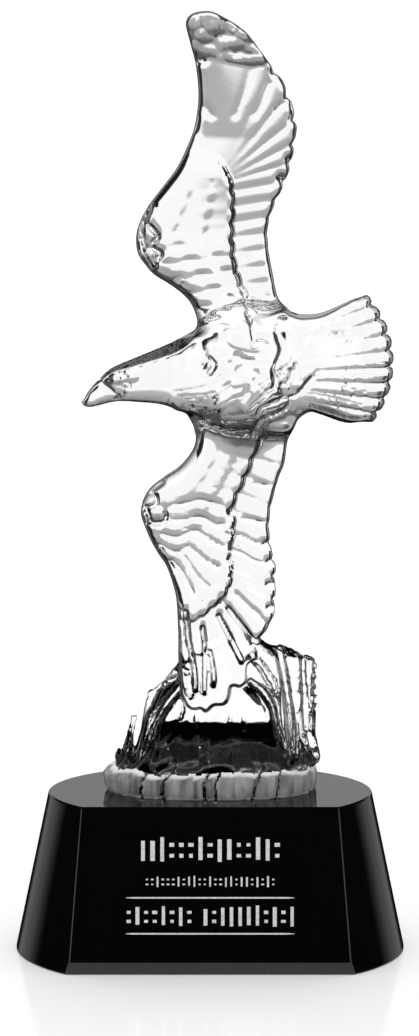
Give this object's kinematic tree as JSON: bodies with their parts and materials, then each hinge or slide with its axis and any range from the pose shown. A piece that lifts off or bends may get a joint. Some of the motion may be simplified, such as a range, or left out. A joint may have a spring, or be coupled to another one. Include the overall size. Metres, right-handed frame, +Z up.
{
  "type": "eagle trophy",
  "caption": "Clear cast crystal eagle soaring on its side above a broken rock, bonded to a tapered black crystal plinth with a flat leaning front for an inscription.",
  "frame": {"origin": "centre of the whole object's box, on the underside of the plinth", "axes": "+Z up from the surface that it stands on; the plinth's flat inscribed front looks along -Y; the eagle's beak points along -X and its tail along +X"},
  "size_m": [0.1286, 0.0769, 0.307],
  "materials": {
    "clear_crystal": "clear cast crystal, fire polished",
    "black_crystal": "polished black crystal with a frosted shallow inscription"
  },
  "bodies": {
    "root": {"eagle": "clear_crystal", "plinth": "black_crystal"}
  },
  "joints": []
}
